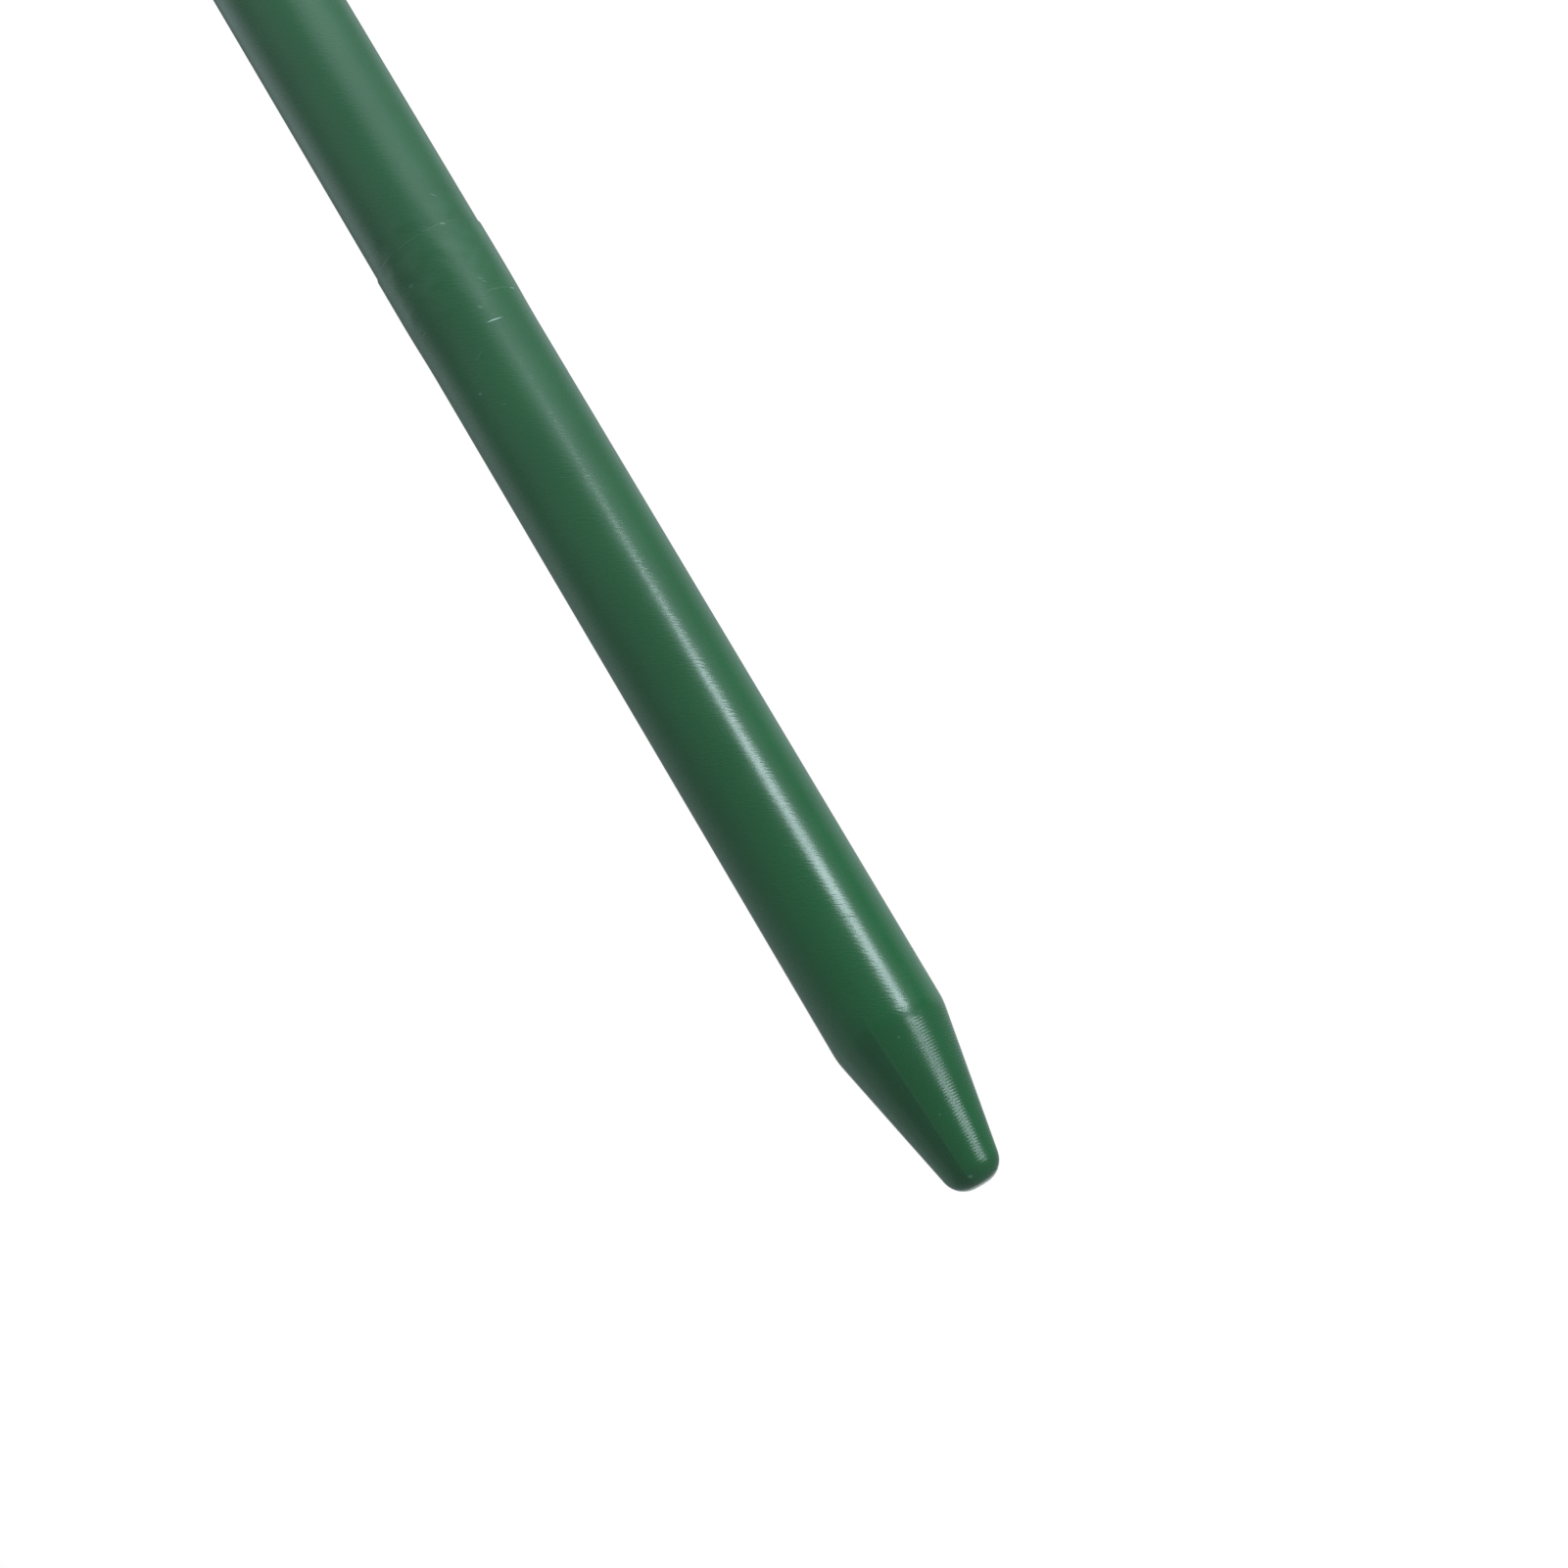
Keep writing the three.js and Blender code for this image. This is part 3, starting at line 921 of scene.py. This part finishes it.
# Angles from the parting line: half the edge of the painted shade on its left, where this begins to fade, and
# its end
SHADE_EDGE, SHADE_FADE, SHADE_END = math.radians(2), math.radians(10), math.radians(40)
# Angles from the parting line up to which its seam is whole, and at which it ends
SEAM_CORE, SEAM_EDGE = math.radians(0.6), math.radians(2.4)
# The turned rings fade in over this length below the cone's top
CONE_FADE = 1 * MM
# The hollows round a socket end this far below its band and above its rim, and are whole this far above both
SINK_BELOW, SINK_ABOVE, SINK_WHOLE = 3 * MM, 4 * MM, 1 * MM
# How far a mark reaches into the plastic, and the share of its size that is whole
MARK_REACH = 1 * MM
MARK_CORE = 0.35


def green_plastic(finish):
    """Satin dark-green moulded plastic with fine scratches, turned rings on the cone and worn places, with
    painted shade on the cone and painted highlight on the band's ring lines.
    """
    name = "satin_green_plastic"
    if name in bpy.data.materials:
        return bpy.data.materials[name]
    material = new_material(name)
    tree = material.node_tree
    place = add_node(tree, "TexCoord").outputs["Object"]
    around, out, height = stem_place(tree, place)
    pale, groove = wear_and_ring_sheen(tree, place, finish)
    patches = fade(tree, noise(tree, place, GLOSS_PATCHES), *PATCH_EDGE)
    shine = between(tree, patches, finish.smooth_roughness, finish.dull_roughness)
    relief = scratch_relief(tree, around, out, height, finish)
    for part in (
        ring_relief(tree, place, height, finish),
        sink_relief(tree, place, height, finish),
        product(tree, groove, -finish.groove_depth),
    ):
        relief = calculate(tree, "ADD", relief, part)
    green = clouded_and_shaded_green(tree, place, around, height, finish)
    shader = add_node(tree, "BsdfPrincipled", {
        "Base Color": mix_colours(tree, pale, green, opaque(finish.scuff_and_ring_sheen)),
        "Roughness": calculate(tree, "MULTIPLY_ADD", pale, finish.scuff_roughness, shine),
        "Specular IOR Level": finish.gloss,
        "Normal": relief_normal(tree, relief),
    })
    add_node(tree, "OutputMaterial", {"Surface": shader.outputs[0]})
    return material


def relief_normal(tree, relief):
    """The surface's normal with a relief in metres on it."""
    return add_node(tree, "Bump", {"Strength": 1.0, "Distance": 1.0, "Height": relief}).outputs[0]


def clouded_and_shaded_green(tree, place, around, height, finish):
    """Green with soft clouds, and on the cone a pale parting line with painted shade, a darker green, on its
    left where the cone turns from the light.
    """
    clouds = fade(tree, noise(tree, place, CLOUDS), *CLOUD_EDGE)
    green = mix_colours(tree, clouds, opaque(finish.green), opaque(finish.deep_green))
    on_cone = fade(tree, height, cone_top() + PARTING_ABOVE, cone_top() - PARTING_BELOW)
    line = finish.parting_angle
    beside = product(
        tree,
        fade(tree, around, line + SHADE_EDGE, line - SHADE_EDGE),
        fade(tree, around, line - SHADE_END, line - SHADE_FADE),
    )
    # Painted shade: beside the parting line the green is darkened towards black
    painted_shade = product(tree, on_cone, beside, finish.parting_painted_shade)
    shaded = mix_colours(tree, painted_shade, green, opaque((0.0, 0.0, 0.0)))
    off_line = calculate(tree, "ABSOLUTE", calculate(tree, "SUBTRACT", around, line))
    seam = product(tree, on_cone, fade(tree, off_line, SEAM_EDGE, SEAM_CORE), finish.seam_pale)
    return mix_colours(tree, seam, shaded, opaque(finish.scuff_and_ring_sheen))


def cone_top():
    """The height at which the cone leaves the stem."""
    return nose_height + bpy.context.scene.stem_sizes.cone_length


def stem_place(tree, place):
    """A place on the stem: its angle to the right of the front, its distance from the axis, its height."""
    parts = add_node(tree, "SeparateXYZ", {0: place}).outputs
    around = calculate(tree, "ARCTAN2", parts["X"], product(tree, parts["Y"], -1))
    squares = (product(tree, parts[axis], parts[axis]) for axis in "XY")
    out = calculate(tree, "SQRT", calculate(tree, "ADD", *squares))
    return around, out, parts["Z"]


def wear_and_ring_sheen(tree, place, finish):
    """How pale and how deeply scratched the plastic is, from the list of marks; on the band's ring lines the
    paleness is painted highlight.
    """
    wander = noise(tree, place, RAGGED_EDGES, output="Color")
    centred = vector_math(tree, "SUBTRACT", {0: wander, 1: [NOISE_MIDDLE] * 3})
    shift = vector_math(tree, "SCALE", {0: centred, "Scale": finish.mark_ragged})
    ragged = vector_math(tree, "ADD", {0: place, 1: shift})
    pale, groove = 0.0, 0.0
    for mark in MARKS:
        mask = mark_mask(tree, ragged, mark)
        pale = calculate(tree, "MULTIPLY_ADD", mask, mark.pale, pale)
        groove = calculate(tree, "MULTIPLY_ADD", mask, mark.groove, groove)
    return pale, groove


def mark_mask(tree, place, mark):
    """1 in the middle of a mark and 0 past its edge."""
    around = math.radians(mark.around)
    out = stem_radius(mark.height * MM)
    middle = (out * math.sin(around), -out * math.cos(around), nose_height + mark.height * MM)
    half_sizes = (mark.length / 2 * MM, MARK_REACH, mark.width / 2 * MM)
    local = moved_to(tree, place, middle, (0.0, math.radians(mark.slant), around), half_sizes)
    away = vector_math(tree, "LENGTH", {0: local}, "Value")
    return fade(tree, away, 1.0, MARK_CORE)


def stem_radius(height):
    """The stem's radius at a height above the nose, on the cone or above it."""
    sizes = bpy.context.scene.stem_sizes
    share = min(1, height / sizes.cone_length)
    return (sizes.nose_diameter + (sizes.stem_diameter - sizes.nose_diameter) * share) / 2


def turned_cone(tree, height):
    """1 on the cone and 0 above it."""
    return fade(tree, height, cone_top(), cone_top() - CONE_FADE)


def scratch_relief(tree, around, out, height, finish):
    """Fine slanted scratches all over, fainter on the cone, in metres."""
    arc = product(tree, around, bpy.context.scene.stem_sizes.stem_diameter / 2)
    unrolled = add_node(tree, "CombineXYZ", {0: arc, 1: out, 2: height}).outputs[0]
    box = (finish.grain_length, finish.grain_length, finish.grain_width)
    along = moved_to(tree, unrolled, (0.0, 0.0, 0.0), (0.0, finish.grain_slant, 0.0), box)
    depth = between(tree, turned_cone(tree, height), 1.0, finish.cone_grain)
    return product(tree, noise(tree, along, 1.0), depth, finish.grain_depth / NOISE_SPAN)


def ring_relief(tree, place, height, finish):
    """The turned rings on the cone, in metres."""
    wander = noise(tree, place, RING_WANDER)
    turns = calculate(tree, "MULTIPLY_ADD", height, 2 * math.pi / finish.ring_pitch, wander)
    rings = calculate(tree, "SINE", turns)
    return product(tree, rings, turned_cone(tree, height), finish.ring_depth)


def sink_relief(tree, place, height, finish):
    """Soft hollows round the point's socket, in metres."""
    band_low = point_rim - bpy.context.scene.stem_sizes.band_length
    on_band = product(
        tree,
        fade(tree, height, band_low - SINK_BELOW, band_low + SINK_WHOLE),
        fade(tree, height, point_rim + SINK_ABOVE, point_rim + SINK_WHOLE),
    )
    hollows = calculate(tree, "SUBTRACT", noise(tree, place, 1 / finish.sink_width, detail=1.0), NOISE_MIDDLE)
    return product(tree, hollows, on_band, finish.sink_depth / NOISE_SPAN)


def zinc_steel(finish):
    """Zinc-plated steel tube: drawn along its length, slightly mottled."""
    material = new_material("zinc_plated_steel")
    tree = material.node_tree
    place = add_node(tree, "TexCoord").outputs["Object"]
    mottle = fade(tree, noise(tree, place, ZINC_PATCHES), *PATCH_EDGE)
    dull = opaque(channel * finish.dull_zinc for channel in finish.zinc)
    box = (finish.drawn_width, finish.drawn_width, finish.drawn_length)
    drawn = noise(tree, moved_to(tree, place, (0.0, 0.0, 0.0), (0.0, 0.0, 0.0), box), 1.0)
    shader = add_node(tree, "BsdfPrincipled", {
        "Base Color": mix_colours(tree, mottle, opaque(finish.zinc), dull),
        "Metallic": 1.0,
        "Roughness": between(tree, drawn, finish.zinc_smooth, finish.zinc_dull),
        "Normal": relief_normal(tree, product(tree, drawn, finish.drawn_depth)),
    })
    add_node(tree, "OutputMaterial", {"Surface": shader.outputs[0]})
    return material


def lay_floor(studio):
    """A plain pale floor below the nose, which keeps the stake's shadow."""
    bpy.ops.object.select_all(action="DESELECT")
    height = nose_height - studio.floor_drop
    bpy.ops.mesh.primitive_plane_add(size=studio.floor_size, location=(0, 0, height))
    floor = bpy.context.object
    floor.name = "studio_floor"
    floor.data.materials.append(pale_floor(studio))


def pale_floor(studio):
    """Matt and pale, with a glow that makes it white to the camera, and behind the stake to reflections."""
    material = new_material("pale_floor")
    tree = material.node_tree
    place = add_node(tree, "TexCoord").outputs["Object"]
    away = vector_math(tree, "LENGTH", {0: place}, "Value")
    direction = vector_math(tree, "NORMALIZE", {0: place})
    far = fade(tree, away, studio.glow_start, studio.glow_full)
    seen = background_share(tree, product(tree, far, behind(tree, direction)))
    glow = product(tree, seen, studio.floor_glow)
    matt = add_node(tree, "BsdfDiffuse", {"Color": opaque(studio.floor_colour)})
    shine = add_node(tree, "Emission", {"Strength": glow})
    both = add_node(tree, "AddShader", {0: matt.outputs[0], 1: shine.outputs[0]})
    add_node(tree, "OutputMaterial", {"Surface": both.outputs[0]})
    return material


def behind(tree, direction):
    """1 in the directions that lie straight behind the stake, as the camera sees it."""
    backward = add_node(tree, "SeparateXYZ", {0: direction}).outputs["Y"]
    return fade(tree, backward, math.cos(BACK_EDGE), math.cos(BACK_FULL))


def background_share(tree, share):
    """1 for what the camera sees, and a share for what is seen in reflections and through clear pieces."""
    path = add_node(tree, "LightPath").outputs
    bent = calculate(tree, "MAXIMUM", path["Is Glossy Ray"], path["Is Transmission Ray"])
    return calculate(tree, "MAXIMUM", path["Is Camera Ray"], product(tree, bent, share))


def toward(around, up):
    """The direction at an angle to the right of the front and an angle above the horizon."""
    flat = math.cos(up)
    return Vector((flat * math.sin(around), -flat * math.cos(around), math.sin(up)))


def light_world(studio):
    """Soft patches of light round the stake, and a white background."""
    world = bpy.data.worlds.new("soft_studio")
    bpy.context.scene.world = world
    world.use_nodes = True
    tree = world.node_tree
    tree.nodes.clear()
    direction = add_node(tree, "TexCoord").outputs["Generated"]
    brightness = 0.0
    for light in SOFT_LIGHTS:
        patch = light_patch(tree, direction, light)
        brightness = calculate(tree, "MULTIPLY_ADD", patch, light.strength, brightness)
    lighting = add_node(tree, "Background", {"Color": opaque(studio.light_colour), "Strength": brightness})
    white = add_node(tree, "Background", {"Color": opaque((1.0, 1.0, 1.0)), "Strength": 1.0})
    seen = background_share(tree, behind(tree, direction))
    both = add_node(tree, "MixShader", {0: seen, 1: lighting.outputs[0], 2: white.outputs[0]})
    add_node(tree, "OutputWorld", {"Surface": both.outputs[0]})


def light_patch(tree, direction, light):
    """1 in the middle of a soft light and 0 past its edge."""
    middle = toward(math.radians(light.around), math.radians(light.up))
    towards = vector_math(tree, "DOT_PRODUCT", {0: direction, 1: middle}, "Value")
    return fade(tree, towards, math.cos(math.radians(light.spread)), 1.0)


def hang_lamp(studio, settings):
    """A flat soft lamp that faces the stem."""
    around = math.radians(settings.around)
    place = toward(around, 0) * studio.lamp_distance
    place.z = nose_height + settings.height * MM
    bpy.ops.object.light_add(type="AREA")
    lamp = bpy.context.object
    lamp.name = settings.name
    facing = Matrix.Rotation(around, 4, "Z") @ Matrix.Rotation(math.pi / 2, 4, "X")
    lean = Matrix.Rotation(math.radians(settings.lean), 4, "Z")
    lamp.matrix_world = Matrix.Translation(place) @ facing @ lean
    lamp.data.shape = "RECTANGLE"
    lamp.data.size = settings.width * MM
    lamp.data.size_y = settings.tall * MM
    lamp.data.color = studio.light_colour
    lamp.data.energy = settings.radiance * math.pi * lamp.data.size * lamp.data.size_y


def aim_camera(studio):
    """The camera that sees the lower end of the stake lean across the picture."""
    place = Matrix.Translation((0, -studio.camera_back, nose_height - studio.camera_drop))
    yaw = Matrix.Rotation(-studio.camera_yaw, 4, "Z")
    pitch = Matrix.Rotation(math.pi / 2 + studio.camera_pitch, 4, "X")
    roll = Matrix.Rotation(studio.camera_roll, 4, "Z")
    bpy.ops.object.camera_add()
    camera = bpy.context.object
    camera.name = "photo_camera"
    camera.matrix_world = place @ yaw @ pitch @ roll
    camera.data.lens = studio.camera_lens
    camera.data.clip_start = CAMERA_NEAR
    bpy.context.scene.camera = camera


class STAKE_OT_stage(bpy.types.Operator):
    """Lay the floor, light the studio and aim the camera"""

    bl_idname = "stake.stage"
    bl_label = "Stage"

    def execute(self, context):
        studio = context.scene.studio_settings
        context.scene.view_settings.view_transform = "Standard"
        lay_floor(studio)
        light_world(studio)
        for settings in LAMPS:
            hang_lamp(studio, settings)
        aim_camera(studio)
        return {"FINISHED"}


class STAKE_PT_panel(bpy.types.Panel):
    """Lists the stake's pieces and what they are made from"""

    bl_label = "Plant stake"
    bl_idname = "STAKE_PT_panel"
    bl_space_type = "VIEW_3D"
    bl_region_type = "UI"
    bl_category = "Plant stake"

    def draw(self, context):
        for operator in OPERATORS:
            self.layout.operator(operator.bl_idname)
        for name in SETTINGS:
            group = getattr(context.scene, name)
            box = self.layout.box()
            for key in group.__annotations__:
                box.prop(group, key)


SETTINGS = {
    "stem_sizes": StemSizes,
    "branch_sizes": BranchSizes,
    "stake_finish": StakeFinish,
    "studio_settings": StudioSettings,
}
OPERATORS = (
    STAKE_OT_core,
    STAKE_OT_point,
    STAKE_OT_plain_sleeve,
    STAKE_OT_branch_sleeves,
    STAKE_OT_twigs,
    STAKE_OT_cap,
    STAKE_OT_stage,
)
CLASSES = (*SETTINGS.values(), *OPERATORS, STAKE_PT_panel)


def register():
    for item in CLASSES:
        bpy.utils.register_class(item)
    for name, group in SETTINGS.items():
        setattr(bpy.types.Scene, name, bpy.props.PointerProperty(type=group))


def unregister():
    for name in SETTINGS:
        delattr(bpy.types.Scene, name)
    for item in reversed(CLASSES):
        bpy.utils.unregister_class(item)


def write_sizes():
    """Bring every piece's placement up to date."""
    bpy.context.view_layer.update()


def main():
    register()
    bpy.ops.stake.core()
    bpy.ops.stake.point()
    bpy.ops.stake.plain_sleeve()
    bpy.ops.stake.branch_sleeves()
    bpy.ops.stake.twigs()
    bpy.ops.stake.cap()
    bpy.ops.stake.stage()
    write_sizes()


if __name__ == "__main__":
    main()
